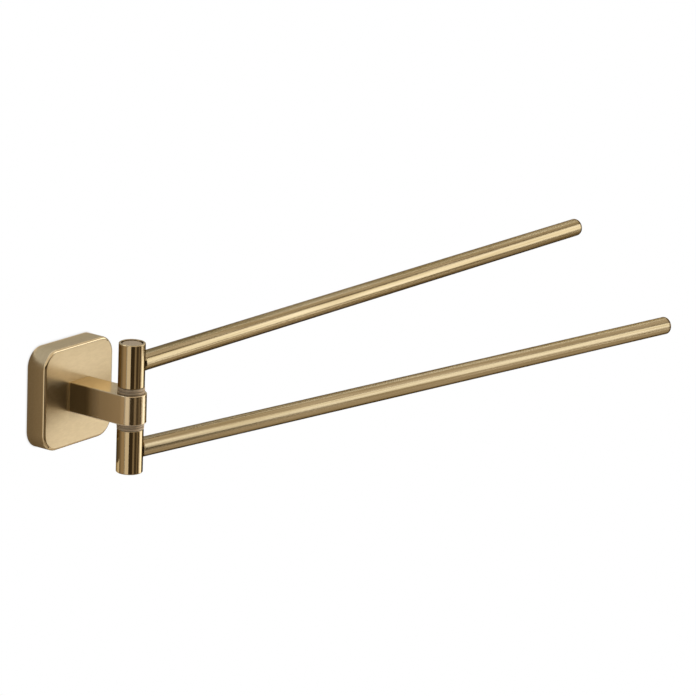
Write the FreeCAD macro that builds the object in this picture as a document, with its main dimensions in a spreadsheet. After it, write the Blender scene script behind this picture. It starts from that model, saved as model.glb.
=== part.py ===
import FreeCAD, Part
import math
import os
import re
import Sketcher

# Two-arm swivel towel rail for a bathroom wall, in millimetres.
# The wall is the plane Y = 0 and the rail stands out from it towards -Y, with +Z up.
# The origin is the centre of the wall plate's back. Both arms turn on one upright axis.

doc = FreeCAD.newDocument("swivel_towel_rail")
sheet = doc.addObject("Spreadsheet::Sheet", "sizes")

SIZES = [
    # wall plate: a hollow casting, open at the back
    ("plate_width", 53.0),
    ("plate_depth", 11.5),
    ("plate_corner_radius", 10.0),
    ("plate_edge_radius", 1.5),
    ("plate_side_wall", 2.4),
    ("plate_front_wall", 3.0),
    ("inner_boss_width", 19.0),
    ("inner_boss_rise", 1.2),
    ("lock_boss_width", 10.0),
    ("lock_boss_rise", 2.4),
    # steel bracket that is screwed to the wall inside the plate
    ("bracket_gauge", 2.5),
    ("bracket_width", 38.0),
    ("bracket_height", 36.0),
    ("bracket_corner_radius", 4.0),
    ("lug_width", 20.0),
    ("lug_reach", 8.0),
    ("bend_radius", 1.0),
    ("wall_hole_spacing", 26.0),
    ("wall_hole_diameter", 5.0),
    ("bracket_window_diameter", 14.0),
    # set screw through the underside of the plate
    ("lock_screw_diameter", 4.0),
    ("lock_screw_inset", 0.6),
    ("lock_screw_from_wall", 5.4),
    ("lock_point_diameter", 2.0),
    ("lock_socket_flats", 2.0),
    ("lock_socket_depth", 2.2),
    # screw that pulls the post against the plate
    ("post_screw_diameter", 6.0),
    ("post_screw_bite", 11.0),
    ("post_screw_head_diameter", 10.5),
    ("post_screw_head_rise", 3.3),
    ("post_screw_crown_diameter", 6.3),
    ("post_screw_rim_rise", 1.3),
    ("post_socket_flats", 4.0),
    ("post_socket_depth", 2.0),
    ("post_washer_diameter", 12.0),
    ("post_washer_thickness", 1.6),
    # post: a bar of rectangular section that ends in a round eye
    ("pivot_reach", 45.6),
    ("post_width", 16.0),
    ("post_rise", 15.4),
    ("post_recess", 1.0),
    ("post_edge_break", 0.3),
    ("screw_hole_extra", 2.0),
    # bearing stack between the eye and each barrel
    ("bush_outer_diameter", 10.0),
    ("bush_sleeve_length", 6.5),
    ("bush_flange_diameter", 14.0),
    ("bush_flange_thickness", 1.6),
    ("friction_ring_diameter", 13.8),
    ("friction_ring_thickness", 1.6),
    ("ring_edge_break", 0.25),
    # bolt that clamps the stack, its spring and its nut
    ("pivot_bolt_diameter", 5.0),
    ("bolt_head_diameter", 8.5),
    ("bolt_head_rise", 5.0),
    ("bolt_socket_flats", 4.0),
    ("bolt_socket_depth", 2.5),
    ("nut_flats", 8.0),
    ("nut_hex_rise", 3.5),
    ("nut_collar_diameter", 7.4),
    ("nut_collar_rise", 1.2),
    ("spring_diameter", 9.2),
    ("spring_gauge", 0.5),
    ("spring_cone_rise", 0.4),
    # barrels: turned tubes that carry the bars
    ("barrel_diameter", 13.6),
    ("bar_level", 11.4),
    ("bore_web", 0.48),
    ("nut_end_room", 0.4),
    ("barrel_edge_break", 0.3),
    ("counterbore_diameter", 9.8),
    # caps pressed into the outer end of each barrel
    ("cap_diameter", 11.2),
    ("cap_thickness", 1.9),
    ("cap_inset", 0.3),
    ("cap_bevel", 0.9),
    ("cap_bevel_fall", 0.5),
    # bars: tubes with a spigot at the root and a plug at the tip
    ("bar_diameter", 10.0),
    ("bar_wall", 1.0),
    ("bar_reach", 402.0),
    ("bar_seat", 5.7),
    ("bar_root_chamfer", 0.5),
    ("spigot_diameter", 5.4),
    ("spigot_length", 2.1),
    ("spigot_grip", 12.0),
    ("plug_face_thickness", 2.2),
    ("plug_edge_radius", 1.4),
    ("plug_grip", 9.0),
    # arms at rest, in degrees out from the line of the wall
    ("upper_arm_angle", 0.0),
    ("lower_arm_angle", 9.8),
    # clearances
    ("slide_clearance", 0.1),
    ("running_clearance", 0.05),
    ("thread_clearance", 0.05),
    ("press_clearance", 0.02),
]

for row, (alias, value) in enumerate(SIZES, start=1):
    sheet.set("A%d" % row, alias)
    sheet.set("B%d" % row, str(value))
    sheet.setAlias("B%d" % row, alias)
doc.recompute()
CELLS = {alias: "sizes." + alias for alias, _ in SIZES}


def bound(text):
    """Turn the sheet's aliases in a formula into references to its cells."""
    return re.sub("[a-z_]+", lambda word: CELLS.get(word[0], word[0]), text)


def new_body(label):
    """A body whose name and label are the piece's own name."""
    body = doc.addObject("PartDesign::Body", label)
    body.Label = label
    return body


def plane_of(body, role):
    """One of the body's own origin planes or axes, found by its role."""
    return next(item for item in body.Origin.OriginFeatures if item.Role == role)


def new_sketch(body, name, role, offset="0"):
    """A sketch on one of the body's origin planes, lifted along its normal."""
    sketch = body.newObject("Sketcher::SketchObject", body.Name + "_" + name)
    sketch.AttachmentSupport = [(plane_of(body, role), "")]
    sketch.MapMode = "FlatFace"
    sketch.setExpression("AttachmentOffset.Base.z", bound(offset))
    return sketch


def start_value(sketch, formula):
    """Where a formula lies now, so that a drawn point starts in its place."""
    return float(sketch.evalExpression(bound(formula)))


def pin_point(sketch, line, end, across, along):
    """Tie one end of a line to a place measured from the sketch's origin."""
    for kind, formula, axis in (("DistanceX", across, -2), ("DistanceY", along, -1)):
        if formula == "0":
            sketch.addConstraint(Sketcher.Constraint("PointOnObject", line, end, axis))
            continue
        distance = start_value(sketch, formula)
        index = sketch.addConstraint(Sketcher.Constraint(kind, -1, 1, line, end, distance))
        sketch.setExpression("Constraints[%d]" % index, bound(formula))


def draw_outline(sketch, corners):
    """A closed outline of straight lines through corners given as formulas."""
    places = [FreeCAD.Vector(start_value(sketch, a), start_value(sketch, b), 0)
              for a, b in corners]
    count = len(corners)
    first = sketch.GeometryCount
    for index in range(count):
        sketch.addGeometry(Part.LineSegment(places[index], places[(index + 1) % count]), False)
    for index in range(count):
        following = first + (index + 1) % count
        sketch.addConstraint(Sketcher.Constraint("Coincident", first + index, 2, following, 1))
    for index, (across, along) in enumerate(corners):
        pin_point(sketch, first + index, 1, across, along)


def draw_circle(sketch, diameter, across="0", along="0"):
    """A circle whose centre and diameter are formulas."""
    centre = FreeCAD.Vector(start_value(sketch, across), start_value(sketch, along), 0)
    radius = start_value(sketch, diameter) / 2
    circle = sketch.addGeometry(Part.Circle(centre, FreeCAD.Vector(0, 0, 1), radius), False)
    pin_point(sketch, circle, 3, across, along)
    index = sketch.addConstraint(Sketcher.Constraint("Diameter", circle, 2 * radius))
    sketch.setExpression("Constraints[%d]" % index, bound(diameter))


def rectangle(half_width, low, high):
    """Corners of an upright rectangle, level about the sketch's vertical axis."""
    return [("-( %s )" % half_width, low), (half_width, low),
            (half_width, high), ("-( %s )" % half_width, high)]


def draw_rounded_rectangle(sketch, half_width, half_height, radius):
    """A rectangle about the origin, with quarter-round corners tangent to its sides."""
    flat_x = "( %s - ( %s ) )" % (half_width, radius)
    flat_y = "( %s - ( %s ) )" % (half_height, radius)
    ends = [("-" + flat_x, "-( %s )" % half_height), (flat_x, "-( %s )" % half_height),
            (half_width, "-" + flat_y), (half_width, flat_y),
            (flat_x, half_height), ("-" + flat_x, half_height),
            ("-( %s )" % half_width, flat_y), ("-( %s )" % half_width, "-" + flat_y)]
    places = [FreeCAD.Vector(start_value(sketch, a), start_value(sketch, b), 0)
              for a, b in ends]
    round_size = start_value(sketch, radius)
    bulge = round_size * (1 - math.sqrt(0.5))
    for side in range(4):
        start, stop = places[2 * side], places[2 * side + 1]
        beyond = places[(2 * side + 2) % 8]
        along = (stop - start).normalize()
        across = FreeCAD.Vector(-along.y, along.x, 0)
        middle = stop + along * (round_size - bulge) + across * bulge
        sketch.addGeometry(Part.LineSegment(start, stop), False)
        sketch.addGeometry(Part.Arc(stop, middle, beyond), False)
    for side in range(4):
        line, arc, following = 2 * side, 2 * side + 1, (2 * side + 2) % 8
        sketch.addConstraint(Sketcher.Constraint("Tangent", line, 2, arc, 1))
        sketch.addConstraint(Sketcher.Constraint("Coincident", arc, 2, following, 1))
        pin_point(sketch, line, 1, *ends[2 * side])
        pin_point(sketch, line, 2, *ends[2 * side + 1])


def hexagon(flats):
    """Corners of a hexagon with two of its corners on the sketch's level axis."""
    corner = "( %s ) / sqrt(3)" % flats
    half = "( %s ) / ( 2 * sqrt(3) )" % flats
    side = "( %s ) / 2" % flats
    return [(corner, "0"), (half, side), ("-( %s )" % half, side),
            ("-( %s )" % corner, "0"), ("-( %s )" % half, "-( %s )" % side),
            (half, "-( %s )" % side)]


def pad(body, sketch, length, midplane=False):
    """Extrude a sketch along its normal, or half each way."""
    feature = body.newObject("PartDesign::Pad", sketch.Name + "_pad")
    feature.Profile = sketch
    if midplane:
        feature.SideType = "Symmetric"
    feature.setExpression("Length", bound(length))
    return feature


def pocket(body, sketch, length, forward=False, through=False):
    """Cut a sketch out of the body, against its normal or along it."""
    before = settled_volume(body)
    feature = body.newObject("PartDesign::Pocket", sketch.Name + "_pocket")
    feature.Profile = sketch
    feature.Reversed = forward
    if through:
        feature.Type = "ThroughAll"
        feature.Midplane = True
    else:
        feature.setExpression("Length", bound(length))
    if settled_volume(body) >= before:
        raise ValueError(sketch.Name + " cuts nothing")
    return feature


def revolve(body, role, axis, corners, name="profile"):
    """Turn an outline of formulas about one axis of its sketch."""
    sketch = new_sketch(body, name, role)
    draw_outline(sketch, corners)
    feature = body.newObject("PartDesign::Revolution", sketch.Name + "_turned")
    feature.Profile = sketch
    feature.ReferenceAxis = (sketch, [axis])
    feature.Angle = 360
    return feature


def settled_volume(body):
    """The body's volume once everything above is worked out."""
    doc.recompute()
    return body.Shape.Volume


def dress_edges(body, kind, measure, name, formula, test):
    """Treat those of the body's edges that pass a test of their shape."""
    doc.recompute()
    base = body.Tip
    edges = ["Edge%d" % number for number, edge in enumerate(base.Shape.Edges, start=1)
             if test(edge)]
    feature = body.newObject("PartDesign::" + kind, body.Name + "_" + name)
    feature.Base = (base, edges)
    feature.setExpression(measure, bound(formula))
    return feature


def fillet(body, name, radius, test):
    """Round some of the body's edges."""
    return dress_edges(body, "Fillet", "Radius", name, radius, test)


def chamfer(body, name, width, test):
    """Break some of the body's edges at 45 degrees."""
    return dress_edges(body, "Chamfer", "Size", name, width, test)


def place(body, **formulas):
    """Put the body at a place given by formulas for x, y and z."""
    for letter, formula in formulas.items():
        body.setExpression("Placement.Base." + letter, bound(formula))


def runs_along(edge, direction):
    """True for a straight edge parallel to a direction."""
    if edge.Curve.TypeId != "Part::GeomLine":
        return False
    return abs(abs(edge.Curve.Direction.dot(direction)) - 1) < 1e-6


def size(alias):
    """The value of one cell of the sheet."""
    return float(sheet.get(alias))


AXIS_X = FreeCAD.Vector(1, 0, 0)
TINY = 1e-4

# Places that several pieces share, as formulas of the sheet's sizes.
CAVITY_HALF = "( plate_width / 2 - plate_side_wall )"
CAVITY_DEPTH = "( plate_depth - plate_front_wall )"
SCREW_SEAT = "( plate_depth - plate_front_wall - inner_boss_rise )"
POST_TAIL = "( plate_depth - post_recess )"
LOCK_SEAT = "( plate_width / 2 - plate_side_wall - lock_boss_rise - slide_clearance )"
FLANGE_TOP = "( post_rise / 2 + bush_flange_thickness )"
BARREL_INNER = "( post_rise / 2 + bush_flange_thickness + friction_ring_thickness )"
BAR_LEVEL = "( %s + bar_level )" % BARREL_INNER
BORE_FLOOR = "( %s + spigot_diameter / 2 + press_clearance + bore_web )" % BAR_LEVEL
NUT_SEAT = "( %s + spring_cone_rise + spring_gauge )" % BORE_FLOOR
BOLT_TIP = "( %s + nut_hex_rise + nut_collar_rise )" % NUT_SEAT
CAP_FACE = "( %s + nut_end_room + cap_thickness )" % BOLT_TIP
BARREL_OUTER = "( %s + cap_inset )" % CAP_FACE
BOLT_BORE = "( pivot_bolt_diameter / 2 + running_clearance )"


def wall_plate_cover():
    """Rounded square casting, hollow from the back, with a seat for the post."""
    body = new_body("wall_plate_cover")
    face = new_sketch(body, "face", "XZ_Plane")
    half = "plate_width / 2"
    draw_rounded_rectangle(face, half, half, "plate_corner_radius")
    pad(body, face, "plate_depth")
    front = -size("plate_depth")
    fillet(body, "front_edge", "plate_edge_radius",
           lambda edge: edge.BoundBox.YMax < front + TINY)

    cavity = new_sketch(body, "cavity", "XZ_Plane")
    draw_rounded_rectangle(cavity, CAVITY_HALF, CAVITY_HALF,
                           "plate_corner_radius - plate_side_wall")
    pocket(body, cavity, CAVITY_DEPTH, forward=True)

    boss = new_sketch(body, "post_boss", "XZ_Plane", SCREW_SEAT)
    half = "inner_boss_width / 2"
    draw_outline(boss, rectangle(half, "-( %s )" % half, half))
    pad(body, boss, "inner_boss_rise")

    lock = new_sketch(body, "lock_boss", "XZ_Plane", "bracket_gauge")
    draw_outline(lock, rectangle("lock_boss_width / 2", "-" + CAVITY_HALF,
                                 "-( plate_width / 2 - plate_side_wall - lock_boss_rise )"))
    pad(body, lock, CAVITY_DEPTH + " - bracket_gauge")

    seat = new_sketch(body, "post_seat", "XZ_Plane", POST_TAIL)
    draw_outline(seat, rectangle("post_width / 2 + press_clearance",
                                 "-( post_rise / 2 + press_clearance )",
                                 "post_rise / 2 + press_clearance"))
    pocket(body, seat, "post_recess", forward=True)

    screw_hole = new_sketch(body, "screw_hole", "XZ_Plane")
    draw_circle(screw_hole, "post_screw_diameter + 2 * slide_clearance")
    pocket(body, screw_hole, "plate_depth", forward=True)

    lock_hole = new_sketch(body, "lock_hole", "XY_Plane")
    draw_circle(lock_hole, "lock_screw_diameter + 2 * thread_clearance",
                along="-lock_screw_from_wall")
    pocket(body, lock_hole, "plate_width / 2")
    return body


def wall_bracket():
    """Pressed steel plate with a hook lug above and a clamping lug below."""
    body = new_body("wall_bracket")
    channel = new_sketch(body, "channel", "YZ_Plane")
    hook = "( plate_width / 2 - plate_side_wall )"
    draw_outline(channel, [
        ("0", "-" + LOCK_SEAT), ("0", hook),
        ("-lug_reach", hook), ("-lug_reach", hook + " - bracket_gauge"),
        ("-bracket_gauge", hook + " - bracket_gauge"),
        ("-bracket_gauge", "-" + LOCK_SEAT + " + bracket_gauge"),
        ("-lug_reach", "-" + LOCK_SEAT + " + bracket_gauge"),
        ("-lug_reach", "-" + LOCK_SEAT)])
    pad(body, channel, "lug_width", midplane=True)
    gauge = size("bracket_gauge")
    fillet(body, "inner_bends", "bend_radius",
           lambda edge: runs_along(edge, AXIS_X)
           and abs(edge.CenterOfMass.y + gauge) < TINY)
    fillet(body, "outer_bends", "bend_radius + bracket_gauge",
           lambda edge: runs_along(edge, AXIS_X) and abs(edge.CenterOfMass.y) < TINY)

    plate = new_sketch(body, "plate", "XZ_Plane")
    draw_rounded_rectangle(plate, "bracket_width / 2", "bracket_height / 2",
                           "bracket_corner_radius")
    pad(body, plate, "bracket_gauge")

    holes = new_sketch(body, "holes", "XZ_Plane")
    draw_circle(holes, "wall_hole_diameter", across="-wall_hole_spacing / 2")
    draw_circle(holes, "wall_hole_diameter", across="wall_hole_spacing / 2")
    draw_circle(holes, "bracket_window_diameter")
    pocket(body, holes, "bracket_gauge", forward=True)
    return body


def bracket_lock_screw():
    """Cone-point set screw that locks the plate to the bracket's lower lug."""
    body = new_body("bracket_lock_screw")
    radius = "lock_screw_diameter / 2"
    point = "lock_point_diameter / 2"
    low = "-( plate_width / 2 - lock_screw_inset )"
    revolve(body, "XZ_Plane", "V_Axis", [
        ("0", low), (radius, low),
        (radius, "-" + LOCK_SEAT + " - ( lock_screw_diameter - lock_point_diameter ) / 2"),
        (point, "-" + LOCK_SEAT), ("0", "-" + LOCK_SEAT)])
    socket = new_sketch(body, "socket", "XY_Plane", low)
    draw_outline(socket, hexagon("lock_socket_flats"))
    pocket(body, socket, "lock_socket_depth", forward=True)
    place(body, y="-lock_screw_from_wall")
    return body


def post_screw():
    """Button-head screw that holds the post from behind the plate."""
    body = new_body("post_screw")
    head = "post_screw_head_diameter / 2"
    seat = "( %s - post_washer_thickness )" % SCREW_SEAT
    top = "( %s - post_washer_thickness - post_screw_head_rise )" % SCREW_SEAT
    shank = "post_screw_diameter / 2"
    tip = "( %s + post_screw_bite )" % POST_TAIL
    revolve(body, "XY_Plane", "V_Axis", [
        ("0", "-" + top), ("post_screw_crown_diameter / 2", "-" + top),
        (head, "-( %s - post_screw_rim_rise )" % seat), (head, "-" + seat),
        (shank, "-" + seat), (shank, "-( %s - ring_edge_break )" % tip),
        (shank + " - ring_edge_break", "-" + tip), ("0", "-" + tip)])
    socket = new_sketch(body, "socket", "XZ_Plane", top)
    draw_outline(socket, hexagon("post_socket_flats"))
    pocket(body, socket, "post_socket_depth", forward=True)
    return body


def post_screw_washer():
    """Flat washer between the screw's head and the casting."""
    body = new_body("post_screw_washer")
    inner = "post_screw_diameter / 2 + slide_clearance"
    seat = "( %s - post_washer_thickness )" % SCREW_SEAT
    revolve(body, "XY_Plane", "V_Axis", [
        (inner, "-" + seat), ("post_washer_diameter / 2", "-" + seat),
        ("post_washer_diameter / 2", "-" + SCREW_SEAT), (inner, "-" + SCREW_SEAT)])
    return body


def swivel_post():
    """Rectangular arm that ends in a round eye, bored for the two bushes."""
    body = new_body("swivel_post")
    half = "post_width / 2"
    stem = new_sketch(body, "stem", "XY_Plane")
    draw_outline(stem, [("-( %s )" % half, "-pivot_reach"), (half, "-pivot_reach"),
                        (half, "-" + POST_TAIL), ("-( %s )" % half, "-" + POST_TAIL)])
    pad(body, stem, "post_rise", midplane=True)
    eye = new_sketch(body, "eye", "XY_Plane")
    draw_circle(eye, "post_width", along="-pivot_reach")
    pad(body, eye, "post_rise", midplane=True)
    top = size("post_rise") / 2
    chamfer(body, "edge_break", "post_edge_break",
            lambda edge: abs(abs(edge.CenterOfMass.z) - top) < TINY
            and edge.BoundBox.ZLength < TINY and edge.BoundBox.YLength > TINY)

    bore = new_sketch(body, "bore", "XY_Plane")
    draw_circle(bore, "bush_outer_diameter + 2 * press_clearance", along="-pivot_reach")
    pocket(body, bore, "post_rise", through=True)
    screw_hole = new_sketch(body, "screw_hole", "XZ_Plane", POST_TAIL)
    draw_circle(screw_hole, "post_screw_diameter + 2 * thread_clearance")
    pocket(body, screw_hole, "post_screw_bite + screw_hole_extra", forward=True)
    return body


def stack_ring(label, side, corners):
    """A turned piece of the pivot stack, above the eye or mirrored below it."""
    body = new_body(label)
    revolve(body, "XZ_Plane", "V_Axis",
            [(radius, "%s * ( %s )" % (side, level)) for radius, level in corners])
    place(body, y="-pivot_reach")
    return body


def bush(label, side):
    """Flanged nylon bush: its sleeve lines the eye and its flange shows as a ring."""
    flange = "bush_flange_diameter / 2"
    sleeve = "bush_outer_diameter / 2"
    end = "( post_rise / 2 - bush_sleeve_length )"
    return stack_ring(label, side, [
        (BOLT_BORE, end), (sleeve + " - ring_edge_break", end),
        (sleeve, end + " + ring_edge_break"), (sleeve, "post_rise / 2"),
        (flange, "post_rise / 2"), (flange, FLANGE_TOP + " - ring_edge_break"),
        (flange + " - ring_edge_break", FLANGE_TOP), (BOLT_BORE, FLANGE_TOP)])


def friction_ring(label, side):
    """Nylon ring that rubs on the barrel's inner end and holds the arm by friction."""
    rim = "friction_ring_diameter / 2"
    return stack_ring(label, side, [
        (BOLT_BORE, FLANGE_TOP), (rim + " - ring_edge_break", FLANGE_TOP),
        (rim, FLANGE_TOP + " + ring_edge_break"),
        (rim, BARREL_INNER + " - ring_edge_break"),
        (rim + " - ring_edge_break", BARREL_INNER), (BOLT_BORE, BARREL_INNER)])


def pivot_bolt():
    """Cap-head bolt through both barrels and the eye."""
    head = "bolt_head_diameter / 2"
    shank = "pivot_bolt_diameter / 2"
    top = "( %s + bolt_head_rise )" % BORE_FLOOR
    body = stack_ring("pivot_bolt", "1", [
        ("0", top), (head + " - ring_edge_break", top), (head, top + " - ring_edge_break"),
        (head, BORE_FLOOR), (shank, BORE_FLOOR), (shank, "-" + BOLT_TIP + " + ring_edge_break"),
        (shank + " - ring_edge_break", "-" + BOLT_TIP), ("0", "-" + BOLT_TIP)])
    socket = new_sketch(body, "socket", "XY_Plane", top)
    draw_outline(socket, hexagon("bolt_socket_flats"))
    pocket(body, socket, "bolt_socket_depth")
    return body


def pivot_spring_washer():
    """Disc spring that keeps the stack clamped, so that the arms stay where put."""
    inner = BOLT_BORE
    rim = "spring_diameter / 2"
    crown = "( %s + spring_cone_rise )" % BORE_FLOOR
    return stack_ring("pivot_spring_washer", "-1", [
        (inner, crown), (rim, BORE_FLOOR), (rim, BORE_FLOOR + " + spring_gauge"),
        (inner, crown + " + spring_gauge")])


def pivot_lock_nut():
    """Hexagon nut with a round locking collar, on the bolt's lower end."""
    body = new_body("pivot_lock_nut")
    collar = new_sketch(body, "collar", "XY_Plane", "-" + BOLT_TIP)
    draw_circle(collar, "nut_collar_diameter")
    pad(body, collar, "nut_hex_rise + nut_collar_rise")
    flats = new_sketch(body, "flats", "XY_Plane", "-( %s + nut_hex_rise )" % NUT_SEAT)
    draw_outline(flats, hexagon("nut_flats"))
    pad(body, flats, "nut_hex_rise")
    hole = new_sketch(body, "bore", "XY_Plane", "-" + NUT_SEAT)
    draw_circle(hole, "pivot_bolt_diameter + 2 * thread_clearance")
    pocket(body, hole, "nut_hex_rise + nut_collar_rise")
    place(body, y="-pivot_reach")
    return body


def ride_on_arm(body, angle, level="0"):
    """Put a piece drawn along its arm's own axis at the arm's rest angle."""
    place(body, y="-pivot_reach", z=level)
    body.setExpression("Placement.Rotation.Angle", "-" + bound(angle))


def barrel(label, side, angle):
    """Turned barrel with a bore for the bolt, a counterbore and a milled seat."""
    body = new_body(label)
    outer = "barrel_diameter / 2"
    edge = "barrel_edge_break"
    shelf = "( %s - cap_thickness )" % CAP_FACE
    mouth = "cap_diameter / 2 + press_clearance"
    well = "counterbore_diameter / 2"
    corners = [
        (BOLT_BORE, BARREL_INNER), (outer + " - " + edge, BARREL_INNER),
        (outer, BARREL_INNER + " + " + edge), (outer, BARREL_OUTER + " - " + edge),
        (outer + " - " + edge, BARREL_OUTER), (mouth, BARREL_OUTER),
        (mouth, shelf), (well, shelf), (well, BORE_FLOOR), (BOLT_BORE, BORE_FLOOR)]
    revolve(body, "XZ_Plane", "V_Axis",
            [(radius, "%s * ( %s )" % (side, level)) for radius, level in corners])
    middle = "%s * %s" % (side, BAR_LEVEL)
    flat = new_sketch(body, "milled_seat", "YZ_Plane", "bar_seat")
    draw_circle(flat, "bar_diameter + 2 * slide_clearance", along=middle)
    pocket(body, flat, "barrel_diameter / 2", forward=True)
    hole = new_sketch(body, "spigot_hole", "YZ_Plane", "bar_seat")
    draw_circle(hole, "spigot_diameter + 2 * press_clearance", along=middle)
    pocket(body, hole, "spigot_length + press_clearance")
    ride_on_arm(body, angle)
    return body


def barrel_cap(label, side, angle):
    """Disc pressed into the barrel's outer end over the bolt's head or nut."""
    body = new_body(label)
    rim = "cap_diameter / 2"
    back = "( %s - cap_thickness )" % CAP_FACE
    corners = [("0", back), (rim, back), (rim, CAP_FACE + " - cap_bevel_fall"),
               (rim + " - cap_bevel", CAP_FACE), ("0", CAP_FACE)]
    revolve(body, "XZ_Plane", "V_Axis",
            [(radius, "%s * ( %s )" % (side, level)) for radius, level in corners])
    ride_on_arm(body, angle)
    return body


def bar_spigot(label, level, angle):
    """Stepped plug brazed into the bar's root, with a nose in the barrel's hole."""
    body = new_body(label)
    nose = "spigot_diameter / 2"
    grip = "( bar_diameter / 2 - bar_wall - press_clearance )"
    revolve(body, "XZ_Plane", "H_Axis", [
        ("bar_seat - spigot_length", "0"), ("bar_seat + spigot_grip", "0"),
        ("bar_seat + spigot_grip", grip), ("bar_seat", grip), ("bar_seat", nose),
        ("bar_seat - spigot_length", nose)])
    ride_on_arm(body, angle, level)
    return body


def bar(label, level, angle):
    """Drawn tube with a small chamfer round its root."""
    body = new_body(label)
    outer = "bar_diameter / 2"
    inner = "( bar_diameter / 2 - bar_wall )"
    end = "( bar_reach - plug_face_thickness )"
    revolve(body, "XZ_Plane", "H_Axis", [
        ("bar_seat", inner), (end, inner), (end, outer),
        ("bar_seat + bar_root_chamfer", outer),
        ("bar_seat", outer + " - bar_root_chamfer")])
    ride_on_arm(body, angle, level)
    return body


def bar_end_plug(label, level, angle):
    """Round-edged plug brazed flush into the bar's free end."""
    body = new_body(label)
    outer = "bar_diameter / 2"
    grip = "( bar_diameter / 2 - bar_wall - press_clearance )"
    shoulder = "( bar_reach - plug_face_thickness )"
    revolve(body, "XZ_Plane", "H_Axis", [
        (shoulder + " - plug_grip", "0"), ("bar_reach", "0"), ("bar_reach", outer),
        (shoulder, outer), (shoulder, grip), (shoulder + " - plug_grip", grip)])
    tip = size("bar_reach")
    fillet(body, "round", "plug_edge_radius",
           lambda edge: edge.BoundBox.XMin > tip - TINY)
    ride_on_arm(body, angle, level)
    return body


def arm(name, side, angle):
    """The five pieces of one arm, which swing together."""
    level = "%s * %s" % (side, BAR_LEVEL)
    return [barrel(name + "_barrel", side, angle),
            barrel_cap(name + "_barrel_cap", side, angle),
            bar_spigot(name + "_bar_spigot", level, angle),
            bar(name + "_bar", level, angle),
            bar_end_plug(name + "_bar_end_plug", level, angle)]


pieces = [
    wall_plate_cover(), wall_bracket(), bracket_lock_screw(),
    post_screw(), post_screw_washer(), swivel_post(),
    bush("upper_bush", "1"), bush("lower_bush", "-1"),
    friction_ring("upper_friction_ring", "1"), friction_ring("lower_friction_ring", "-1"),
    pivot_bolt(), pivot_spring_washer(), pivot_lock_nut(),
]
pieces += arm("upper", "1", "upper_arm_angle")
pieces += arm("lower", "-1", "lower_arm_angle")
doc.recompute()

for item in doc.Objects:
    if "Invalid" in item.State or "Error" in item.State:
        raise ValueError(item.Name + " failed to build")
for piece in pieces:
    if piece.Shape.isNull() or not piece.Shape.isValid() or len(piece.Shape.Solids) != 1:
        raise ValueError(piece.Label + " is not one sound solid")

os.makedirs("parts", exist_ok=True)
for piece in pieces:
    piece.Shape.exportStep("parts/%s.step" % piece.Label)
    box = piece.Shape.BoundBox
    print("%-22s volume %9.1f  x %7.2f %7.2f  y %7.2f %7.2f  z %7.2f %7.2f" % (
        piece.Label, piece.Shape.Volume, box.XMin, box.XMax, box.YMin, box.YMax,
        box.ZMin, box.ZMax))
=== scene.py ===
import bpy
import math
from mathutils import Matrix, Vector

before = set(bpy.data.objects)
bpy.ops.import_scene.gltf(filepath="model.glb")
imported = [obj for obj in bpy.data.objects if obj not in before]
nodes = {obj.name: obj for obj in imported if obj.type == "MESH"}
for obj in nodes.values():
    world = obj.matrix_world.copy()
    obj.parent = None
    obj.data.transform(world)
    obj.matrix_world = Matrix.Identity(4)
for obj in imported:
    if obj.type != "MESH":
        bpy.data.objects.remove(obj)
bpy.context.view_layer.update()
MM = 0.001

# --- Wall plate -----------------------------------------------------------------------
# A die-cast zinc cover, plated and coated in a satin gold. The faces are blasted to a soft
# satin and the rounded edges are polished, so each edge mirrors as a thin bright line.
# It slides over the steel bracket and a set screw below holds it.


def linear(code):
    """An sRGB hex colour as the linear values that the shader sockets take."""
    channels = [int(code[place:place + 2], 16) / 255 for place in (1, 3, 5)]
    return [c / 12.92 if c <= 0.04045 else ((c + 0.055) / 1.055) ** 2.4
            for c in channels] + [1.0]


def add_node(tree, kind, sockets=None, **settings):
    """Add a node, set its properties, and fill or link its inputs by name or number."""
    node = tree.nodes.new(kind)
    for name, value in settings.items():
        setattr(node, name, value)
    for key, value in (sockets or {}).items():
        if isinstance(value, bpy.types.NodeSocket):
            tree.links.new(value, node.inputs[key])
        else:
            node.inputs[key].default_value = value
    return node


def new_material(name):
    """An empty node material, with its tree, ready for a surface shader."""
    material = bpy.data.materials.new(name)
    material.use_nodes = True
    material.node_tree.nodes.clear()
    return material, material.node_tree


def grain(tree, spacing, stretch, turn=0.0):
    """Fine streaks: spacing in mm across them, a stretch per axis, and their turn."""
    place = add_node(tree, "ShaderNodeTexCoord")
    lined = add_node(tree, "ShaderNodeMapping",
                     {"Vector": place.outputs["Object"], "Rotation": (0, 0, turn),
                      "Scale": stretch}, vector_type="TEXTURE")
    return add_node(tree, "ShaderNodeTexNoise",
                    {"Vector": lined.outputs[0], "Scale": 1 / (spacing * MM),
                     "Detail": 2.0, "Roughness": 0.6}).outputs[0]


def blend(tree, factor, first, second):
    """Mix two colours, given as hex codes, by a factor."""
    mix = add_node(tree, "ShaderNodeMix", {0: factor, 6: linear(first), 7: linear(second)},
                   data_type="RGBA")
    return mix.outputs[2]


def spread(tree, value, low, high, span=(0.0, 1.0)):
    """Map a value from its span to the range low to high."""
    scale = add_node(tree, "ShaderNodeMapRange",
                     {"Value": value, "From Min": span[0], "From Max": span[1],
                      "To Min": low, "To Max": high})
    return scale.outputs[0]


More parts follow.
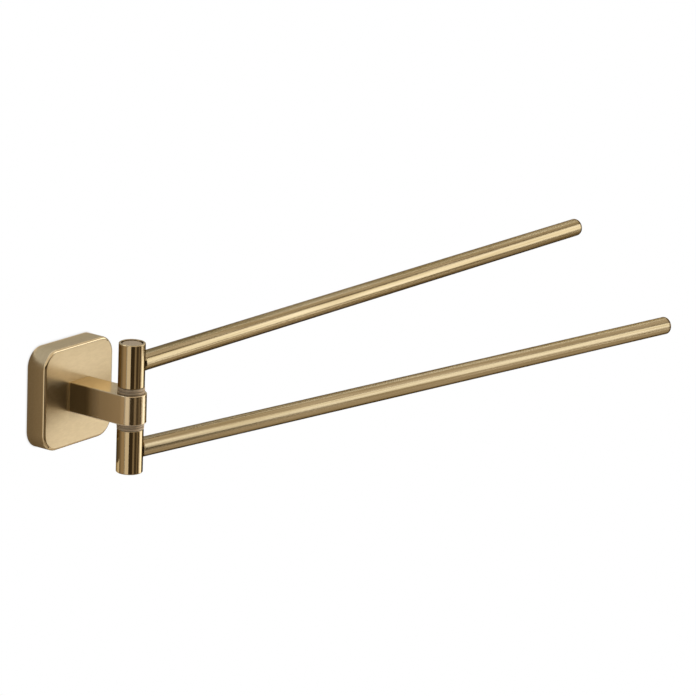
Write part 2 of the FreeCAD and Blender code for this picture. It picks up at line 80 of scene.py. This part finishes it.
def metal(name, light, dark, rough, streaks, relief, rim="#E4DCCE", tone=None, edge=0.0):
    """A coated metal whose colour, roughness and relief follow the same streaks.

    streaks is a function that adds the pattern; rough is a range or such a function. rim is
    the tint at a grazing angle or such a function, tone paints shade, and on the post a
    highlight, into the colour, and edge is the radius in mm of the edge rounding in the shading.
    """
    material, tree = new_material(name)
    pattern = streaks(tree)
    gloss = rough(tree) if callable(rough) else spread(tree, pattern, *rough)
    colour = blend(tree, pattern, dark, light)
    if tone:
        colour = tone(tree, colour)
    bump = add_node(tree, "ShaderNodeBump",
                    {"Height": pattern, "Strength": 0.3, "Distance": relief * MM})
    if edge:
        rounding = add_node(tree, "ShaderNodeBevel", {"Radius": edge * MM}, samples=6)
        tree.links.new(rounding.outputs[0], bump.inputs["Normal"])
    surface = add_node(tree, "ShaderNodeBsdfPrincipled",
                       {"Base Color": colour, "Metallic": 1.0,
                        "Roughness": gloss,
                        "Specular Tint": rim(tree) if callable(rim) else linear(rim),
                        "Normal": bump.outputs[0]})
    add_node(tree, "ShaderNodeOutputMaterial", {"Surface": surface.outputs[0]})
    return material


def dress(material, *names):
    """Give CAD nodes a material in place of their plain one."""
    for name in names:
        for slot in nodes[name].material_slots:
            slot.material = material


def on_side(tree, share, way):
    """Keep a share only where the surface faces a way."""
    place = add_node(tree, "ShaderNodeTexCoord")
    facing = add_node(tree, "ShaderNodeVectorMath", {0: place.outputs["Normal"], 1: way},
                      operation="DOT_PRODUCT")
    kept = add_node(tree, "ShaderNodeMath",
                    {0: share, 1: spread(tree, facing.outputs["Value"], 0.0, 1.0, (0.1, 0.4))},
                    operation="MULTIPLY")
    return kept.outputs[0]


SHADE = "#120D08"


def dim(tree, colour, share):
    """Take a share of a colour away."""
    mix = add_node(tree, "ShaderNodeMix", {0: share, 6: colour, 7: linear(SHADE)},
                   data_type="RGBA")
    return mix.outputs[2]


# The shade beside the post: its reach, the way it looks for the post, how open a spot may
# be before it ends, and the heights between which it fades out above the post.
CORNER_REACH = 22 * MM
CORNER_WAY = (0.75, -0.6, -0.15)
CORNER_DARKEST, CORNER_OPEN = 0.58, (0.2, 0.74)
CORNER_HEIGHTS = (3 * MM, 8 * MM)


def beside_post(tree, colour):
    """The dim corner on the plate's front left of the post. Painted, so it stays in any light."""
    near = add_node(tree, "ShaderNodeAmbientOcclusion",
                    {"Distance": CORNER_REACH, "Normal": CORNER_WAY}, samples=8)
    place = add_node(tree, "ShaderNodeTexCoord").outputs["Object"]
    height = add_node(tree, "ShaderNodeSeparateXYZ", {0: place}).outputs["Z"]
    share = add_node(tree, "ShaderNodeMath",
                     {0: spread(tree, near.outputs["AO"], CORNER_DARKEST, 0.0, CORNER_OPEN),
                      1: spread(tree, height, 1.0, 0.0, CORNER_HEIGHTS)},
                     operation="MULTIPLY")
    return dim(tree, colour, on_side(tree, share.outputs[0], (0, -1, 0)))


SATIN, POLISH = 0.33, 0.08


def polished_edges(tree):
    """Satin on the flat front and sides, polish where the surface turns between them."""
    way = add_node(tree, "ShaderNodeTexCoord").outputs["Normal"]
    front = add_node(tree, "ShaderNodeSeparateXYZ", {0: way}).outputs["Y"]
    square = add_node(tree, "ShaderNodeMath", {0: front, 1: front}, operation="MULTIPLY")
    other = add_node(tree, "ShaderNodeMath", {0: 1.0, 1: square.outputs[0]},
                     operation="SUBTRACT")
    turned = add_node(tree, "ShaderNodeMath", {0: square.outputs[0], 1: other.outputs[0]},
                      operation="MULTIPLY")
    return spread(tree, turned.outputs[0], SATIN, POLISH, (0.0, 0.08))


satin_cast_gold = metal("satin_gold_on_cast_zinc", "#F3E0BA", "#E0CCA4", polished_edges,
                        lambda tree: grain(tree, 1.1, (3, 1, 1)), 0.006, tone=beside_post)
dress(satin_cast_gold, "wall_plate_cover")

# --- Post -----------------------------------------------------------------------------
# A solid brass post of rectangular section that ends in a round eye. It is polished
# across its length and coated, and one screw from inside the plate holds it. The bright
# strip along the lower edge is a painted highlight, the shade on the side near the plate is
# painted shade, and the line at the joint is a painted light line.
HIGHLIGHT_EDGE, HIGHLIGHT_GOLD = 0.7 * MM, "#FFF6E4"
# Depths from the wall, in y: where the shade begins and is full, and the line at the joint.
SHADE_DEPTHS = (-32.5 * MM, -22.5 * MM)
JOINT_DEPTHS = (-12.6 * MM, -12.1 * MM)


def lower_edge(tree):
    """The strip along the post's lower edge, 1 at the edge, where a highlight is painted and the
    coat is rougher.
    """
    rounding = add_node(tree, "ShaderNodeBevel", {"Radius": HIGHLIGHT_EDGE}, samples=8)
    down = add_node(tree, "ShaderNodeSeparateXYZ", {0: rounding.outputs[0]}).outputs["Z"]
    return spread(tree, down, 1.0, 0.0, (-0.4, -0.05))


def beside_plate(tree, colour):
    """Painted shade on the post's left side by the plate, a painted light line at the joint, a
    painted highlight below.
    """
    place = add_node(tree, "ShaderNodeTexCoord")
    depth = add_node(tree, "ShaderNodeSeparateXYZ", {0: place.outputs["Object"]}).outputs["Y"]
    share = add_node(tree, "ShaderNodeMath",
                     {0: spread(tree, depth, 0.0, 0.66, SHADE_DEPTHS),
                      1: spread(tree, depth, 1.0, 0.0, JOINT_DEPTHS)},
                     operation="MULTIPLY")
    colour = dim(tree, colour, on_side(tree, share.outputs[0], (-1, 0, 0)))
    # Painted highlight: a pale gold strip along the lower edge.
    bright = add_node(tree, "ShaderNodeMix",
                      {0: lower_edge(tree), 6: colour, 7: linear(HIGHLIGHT_GOLD)},
                      data_type="RGBA")
    return bright.outputs[2]


post_gold = metal("polished_gold_on_brass", "#E6D3B2", "#DAC6A0",
                  lambda tree: spread(tree, lower_edge(tree), 0.17, 0.65),
                  lambda tree: grain(tree, 0.5, (1, 1, 12)), 0.001, tone=beside_plate,
                  edge=0.45)
dress(post_gold, "swivel_post")

# --- Barrels and caps -------------------------------------------------------------------
# Turned brass barrels with a disc pressed into the outer end. The lathe leaves rings
# round them that are finer than a pixel, so they are drawn coarser, 0.5 mm apart.
CREVICE_REACH = 0.9 * MM


def round_rim(tree):
    """A dark tint round the barrel's wall and a pale one on its flat ends."""
    way = add_node(tree, "ShaderNodeTexCoord").outputs["Normal"]
    upward = add_node(tree, "ShaderNodeSeparateXYZ", {0: way}).outputs["Z"]
    flat = add_node(tree, "ShaderNodeMath", {0: upward}, operation="ABSOLUTE")
    return blend(tree, flat.outputs[0], "#6A5C4A", "#F4EEE4")


def crevice(tree, colour):
    """Narrow gaps, such as the groove round the cap, hold little light."""
    near = add_node(tree, "ShaderNodeAmbientOcclusion", {"Distance": CREVICE_REACH}, samples=8)
    return dim(tree, colour, spread(tree, near.outputs["AO"], 0.9, 0.0, (0.35, 0.9)))


turned_gold = metal("turned_gold_on_brass", "#DAC6A0", "#CEB88E", (0.05, 0.08),
                    lambda tree: grain(tree, 0.5, (12, 12, 1)), 0.0006, round_rim,
                    tone=crevice, edge=0.35)
dress(turned_gold, "upper_barrel", "lower_barrel")
cap_gold = metal("satin_gold_on_cap", "#E2CCAE", "#D4BC9A", (0.18, 0.24),
                 lambda tree: grain(tree, 0.5, (1, 1, 1)), 0.002, "#F4EEE4",
                 tone=crevice, edge=0.8)
dress(cap_gold, "upper_barrel_cap", "lower_barrel_cap")

# --- Bars -------------------------------------------------------------------------------
# Drawn brass tubes, brushed along their length and coated, with a brazed plug at the tip
# and a spigot at the root. Real brushing is finer than a pixel, so its streaks are drawn
# coarser, 1.5 mm wide and 70 times as long. The plugs are painted a darker gold, as their
# tips are in the photo: a painted shade for the dark ring at the tip. The spigots are
# painted a paler one: a painted light for the bright crescent at the root.
STREAK_WIDTH, STREAK_LENGTHS = 1.5, (70, 1, 1)
for name, turn in (("upper", 0.0), ("lower", -9.8)):
    brushed_gold = metal(name + "_bar_brushed_gold", "#CEBD9A", "#B09E79", (0.15, 0.25),
                         lambda tree: spread(tree, grain(tree, STREAK_WIDTH, STREAK_LENGTHS,
                                                         math.radians(turn)),
                                             0.0, 1.0, (0.36, 0.64)),
                         0.003, "#A09080")
    dress(brushed_gold, name + "_bar")
# Painted shade: the plugs' darker gold stands for the dark ring at the tip.
plug_gold = metal("turned_gold_on_end_plug", "#84745A", "#74644A", (0.08, 0.12),
                  lambda tree: grain(tree, 0.5, (1, 1, 1)), 0.0006, "#8A7C6A")
dress(plug_gold, "upper_bar_end_plug", "lower_bar_end_plug")
# Painted light: the spigots' paler gold stands for the bright crescent at the root.
spigot_gold = metal("satin_gold_on_spigot", "#F2E4C6", "#E6D4B0", (0.34, 0.42),
                    lambda tree: grain(tree, 0.5, (1, 1, 1)), 0.001)
dress(spigot_gold, "upper_bar_spigot", "lower_bar_spigot")

# --- Pivot stack ------------------------------------------------------------------------
# Nylon bushes line the eye and nylon rings rub on the barrels. The moulded nylon is a
# translucent grey-brown, and its thin rims let a little light in. Gaps get a painted shade.
NYLON_GAP_REACH = 1.5 * MM
nylon, tree = new_material("moulded_nylon")
shade = blend(tree, grain(tree, 1.5, (1, 1, 1)), "#AC9475", "#BCA381")
# Painted shade: darker where other parts come close.
near = add_node(tree, "ShaderNodeAmbientOcclusion", {"Distance": NYLON_GAP_REACH}, samples=8)
painted_gap_shade = add_node(tree, "ShaderNodeMix",
                 {0: spread(tree, near.outputs["AO"], 0.8, 0.0, (0.5, 0.95)), 6: shade,
                  7: linear("#2A1E12")}, data_type="RGBA")
surface = add_node(tree, "ShaderNodeBsdfPrincipled",
                   {"Base Color": painted_gap_shade.outputs[2],
                    "Roughness": 0.38, "IOR": 1.53, "Subsurface Weight": 0.3,
                    "Subsurface Radius": (0.0012, 0.0009, 0.0007), "Subsurface Scale": 1.0})
add_node(tree, "ShaderNodeOutputMaterial", {"Surface": surface.outputs[0]})
dress(nylon, "upper_bush", "lower_bush", "upper_friction_ring", "lower_friction_ring")

# --- Hidden steel -----------------------------------------------------------------------
# The pressed bracket and washer are zinc plated; the bolt, nut, spring and screws are
# stainless steel. They show only from behind and with the cover off.
zinc = metal("bright_zinc_plating", "#C4C8CC", "#AEB3B8", (0.24, 0.40),
             lambda tree: grain(tree, 2.5, (1, 1, 1)), 0.01, "#E0E4E8")
dress(zinc, "wall_bracket", "post_screw_washer")
stainless = metal("stainless_steel", "#B4B5B6", "#9FA0A2", (0.19, 0.29),
                  lambda tree: grain(tree, 0.5, (4, 4, 1)), 0.004, "#E0E0E0")
dress(stainless, "bracket_lock_screw", "post_screw", "pivot_bolt", "pivot_spring_washer",
      "pivot_lock_nut")

# --- Studio -----------------------------------------------------------------------------
# A white wall behind the rail, a pale floor below it, and a cloth tent that the metal
# mirrors: warm grey with a bright window on the right, a softer one on the left and
# dark panels between them. The tent shows in reflections only.
WALL_GAP = 0.3 * MM
NEAR_RAYS = 5 * WALL_GAP
WALL_SPAN = 6.0
FLOOR_LEVEL = -0.36
TENT_RADIUS = 2.4

tent_panels = [
    # azimuth from and to, elevation from and to (degrees), brightness
    (0, 360, -90, 90, 0.70),
    (0, 360, -90, -24, 0.62),
    (345, 360, -90, -24, 0.36),
    (210, 302.5, -75, 12, 0.045),
    (222.5, 290, -75, -37.5, 0.35),
    (157.5, 210, -27.5, -5, 0.80),
    (242.5, 257.5, -30, -5, 0.28),
    (257.5, 302.5, -30, -5, 0.07),
    (277.5, 290, -30, -5, 0.20),
    (342.5, 360, -24, 14, 0.05),
    (297.5, 317.5, -2.5, 32.5, 1.50),
    (317.5, 345, 22.5, 30, 0.26),
    (315, 342.5, -20, 22.5, 1.80),
]

bpy.ops.object.select_all(action="DESELECT")
bpy.ops.mesh.primitive_uv_sphere_add(segments=144, ring_count=72, radius=TENT_RADIUS,
                                     location=(0.05, -0.045, 0))
tent = bpy.context.object
tent.name = "studio_tent"
bpy.ops.object.transform_apply(location=False, rotation=False, scale=True)
brightness = tent.data.attributes.new("brightness", "FLOAT", "FACE")
for face in tent.data.polygons:
    away = face.center.normalized()
    azimuth = math.degrees(math.atan2(away.y, away.x)) % 360
    elevation = math.degrees(math.asin(away.z))
    for az_from, az_to, el_from, el_to, level in tent_panels:
        if az_from < azimuth < az_to and el_from < elevation < el_to:
            brightness.data[face.index].value = level
cloth, tree = new_material("tent_cloth")
level = add_node(tree, "ShaderNodeAttribute", attribute_name="brightness").outputs["Fac"]
tint = blend(tree, spread(tree, level, 0.0, 1.0, (0.0, 1.2)), "#FFDEAE", "#FFFFFF")
glow = add_node(tree, "ShaderNodeEmission", {"Color": tint, "Strength": level})
add_node(tree, "ShaderNodeOutputMaterial", {"Surface": glow.outputs[0]})
tent.data.materials.append(cloth)
tent.visible_camera = False
tent.visible_diffuse = False
tent.visible_shadow = False
tent.visible_transmission = False

# The wall is white to the camera, with a narrow contact shadow on the side away from the
# lamp. The metal mirrors it as it is lit. From behind it is clear, and so it is to rays
# that leave the plate's back a hair away, so that light reaches the back.
bpy.ops.object.select_all(action="DESELECT")
bpy.ops.mesh.primitive_plane_add(size=WALL_SPAN, location=(0, WALL_GAP, 0),
                                 rotation=(math.radians(90), 0, 0))
wall = bpy.context.object
wall.name = "white_wall"
paint, tree = new_material("white_wall_paint")
near = add_node(tree, "ShaderNodeAmbientOcclusion",
                {"Distance": 2.0 * MM, "Normal": (0.95, -0.3, 0.1)}, samples=12)
seen = add_node(tree, "ShaderNodeEmission",
                {"Strength": spread(tree, near.outputs["AO"], 0.65, 1.0, (0.3, 0.8))})
matt = add_node(tree, "ShaderNodeBsdfDiffuse", {"Color": linear("#D8D8D8")})
path = add_node(tree, "ShaderNodeLightPath")
front = add_node(tree, "ShaderNodeMixShader",
                 {0: path.outputs["Is Camera Ray"], 1: matt.outputs[0], 2: seen.outputs[0]})
side = add_node(tree, "ShaderNodeNewGeometry")
touch = add_node(tree, "ShaderNodeMath", {0: path.outputs["Ray Length"], 1: NEAR_RAYS},
                 operation="LESS_THAN")
gone = add_node(tree, "ShaderNodeMath",
                {0: side.outputs["Backfacing"], 1: touch.outputs[0]}, operation="MAXIMUM")
clear = add_node(tree, "ShaderNodeBsdfTransparent")
whole = add_node(tree, "ShaderNodeMixShader",
                 {0: gone.outputs[0], 1: front.outputs[0], 2: clear.outputs[0]})
add_node(tree, "ShaderNodeOutputMaterial", {"Surface": whole.outputs[0]})
wall.data.materials.append(paint)

# Six cards that only the metal mirrors. On the wall: a brown one left of the plate and
# under it that pales away from it, a painted shadow of the plate on the wall; a black one
# low on the right; a white one below the plate, and a pale and a bright one above it, which
# glow as painted light for the reflections. In the room: a grey flag under the window,
# which trims its reflection along the bars.
CARD_FADE = (-80 * MM, -27 * MM)
cards = [
    # name, colour, brightness near and far from the plate, corners in mm
    ("plate_shadow_card", "#FFE4C0", (0.15, 0.40), ((-400, 0.2, -300), (40, 0.2, -300),
                                             (40, 0.2, -22), (-22, 0.2, -22),
                                             (-22, 0.2, 25), (-400, 0.2, 25))),
    ("black_card", "#FFE4C0", (0.06, 0.06), ((45, 0.1, -300), (900, 0.1, -300),
                                             (900, 0.1, -34), (45, 0.1, -34))),
    ("white_card", "#FFF4E0", (0.8, 0.8), ((-34, 0.1, -72), (26, 0.1, -72),
                                           (26, 0.1, -42), (-34, 0.1, -42))),
    ("high_card", "#FFFFFF", (1.4, 1.4), ((-60, 0.05, 78), (50, 0.05, 78),
                                          (50, 0.05, 125), (-60, 0.05, 125))),
    ("pale_card", "#FFFFFF", (0.46, 0.46), ((-60, 0.1, 27), (140, 0.1, 27),
                                            (140, 0.1, 120), (-60, 0.1, 120))),
    ("grey_flag", "#FFF0DC", (0.45, 0.45), ((800, -250, -200), (800, -750, -270),
                                            (800, -750, -180), (800, -250, -40))),
]
for name, code, (near_plate, far_off), corners in cards:
    mesh = bpy.data.meshes.new(name)
    mesh.from_pydata([[value * MM for value in corner] for corner in corners], [],
                     [list(range(len(corners)))])
    card = bpy.data.objects.new(name, mesh)
    bpy.context.scene.collection.objects.link(card)
    paper, tree = new_material(name + "_paper")
    place = add_node(tree, "ShaderNodeTexCoord")
    across = add_node(tree, "ShaderNodeSeparateXYZ", {0: place.outputs["Object"]})
    level = spread(tree, across.outputs["X"], far_off, near_plate, CARD_FADE)
    glow = add_node(tree, "ShaderNodeEmission", {"Color": linear(code), "Strength": level})
    add_node(tree, "ShaderNodeOutputMaterial", {"Surface": glow.outputs[0]})
    mesh.materials.append(paper)
    card.visible_camera = False
    card.visible_diffuse = False
    card.visible_shadow = False
    card.visible_transmission = False

# The floor gives off a little light of its own to the camera, and metal doesn't mirror it.
bpy.ops.object.select_all(action="DESELECT")
bpy.ops.mesh.primitive_plane_add(size=WALL_SPAN, location=(0, 0, FLOOR_LEVEL))
floor = bpy.context.object
floor.name = "pale_floor"
boards, tree = new_material("pale_floor_paint")
matt = add_node(tree, "ShaderNodeBsdfDiffuse", {"Color": (0.85, 0.85, 0.85, 1)})
path = add_node(tree, "ShaderNodeLightPath")
lift = spread(tree, path.outputs["Is Camera Ray"], 0.0, 0.3)
glow = add_node(tree, "ShaderNodeEmission", {"Strength": lift})
both = add_node(tree, "ShaderNodeAddShader", {0: matt.outputs[0], 1: glow.outputs[0]})
add_node(tree, "ShaderNodeOutputMaterial", {"Surface": both.outputs[0]})
floor.data.materials.append(boards)
floor.visible_glossy = False

# The world is white where it is seen or mirrored, and dimmer as a light.
world = bpy.data.worlds.new("white_studio")
bpy.context.scene.world = world
world.use_nodes = True
tree = world.node_tree
tree.nodes.clear()
path = add_node(tree, "ShaderNodeLightPath")
seen = add_node(tree, "ShaderNodeMath",
                {0: path.outputs["Is Camera Ray"], 1: path.outputs["Is Glossy Ray"]},
                operation="MAXIMUM")
shown = add_node(tree, "ShaderNodeMath",
                 {0: seen.outputs[0], 1: path.outputs["Is Transmission Ray"]},
                 operation="MAXIMUM")
sky = add_node(tree, "ShaderNodeBackground",
               {"Strength": spread(tree, shown.outputs[0], 0.3, 1.0)})
add_node(tree, "ShaderNodeOutputWorld", {"Surface": sky.outputs[0]})

# One soft lamp from the upper right, which metal doesn't mirror.
LAMP_SIDE, LAMP_WATTS = 0.9, 36.0
lamp_data = bpy.data.lights.new("soft_window", "AREA")
lamp_data.shape = "RECTANGLE"
lamp_data.size = LAMP_SIDE
lamp_data.size_y = LAMP_SIDE
lamp_data.energy = LAMP_WATTS
lamp = bpy.data.objects.new("soft_window", lamp_data)
bpy.context.scene.collection.objects.link(lamp)
lamp.location = (1.5, -1.3, 0.8)
lamp.rotation_euler = (Vector((0, -0.05, 0)) - lamp.location).to_track_quat("-Z", "Y").to_euler()
lamp.visible_glossy = False

# --- Camera -----------------------------------------------------------------------------
# A long lens from the left, above and in front of the rail, rolled a little.
SENSOR = 36.0
CAMERA_AZIMUTH, CAMERA_ELEVATION, CAMERA_ROLL = -53.895, 15.702, 2.278
CAMERA_DISTANCE = 2.0789
CAMERA_TARGET = Vector((0.17661, -0.05, -0.00413))
FOCAL_PIXELS, IMAGE_PIXELS = 3876.4, 696

turn, lift = math.radians(CAMERA_AZIMUTH), math.radians(CAMERA_ELEVATION)
back = Vector((math.sin(turn) * math.cos(lift), -math.cos(turn) * math.cos(lift),
               math.sin(lift)))
lens = bpy.data.cameras.new("camera")
lens.sensor_width = SENSOR
lens.lens = FOCAL_PIXELS / IMAGE_PIXELS * SENSOR
camera = bpy.data.objects.new("camera", lens)
bpy.context.scene.collection.objects.link(camera)
right = Vector((math.cos(turn), math.sin(turn), 0))
up = back.cross(right)
roll = math.radians(CAMERA_ROLL)
axes = (right * math.cos(roll) + up * math.sin(roll),
        up * math.cos(roll) - right * math.sin(roll), back)
camera.matrix_world = (Matrix.Translation(CAMERA_TARGET + back * CAMERA_DISTANCE)
                       @ Matrix(axes).transposed().to_4x4())
bpy.context.scene.camera = camera
bpy.context.scene.view_settings.view_transform = "Standard"
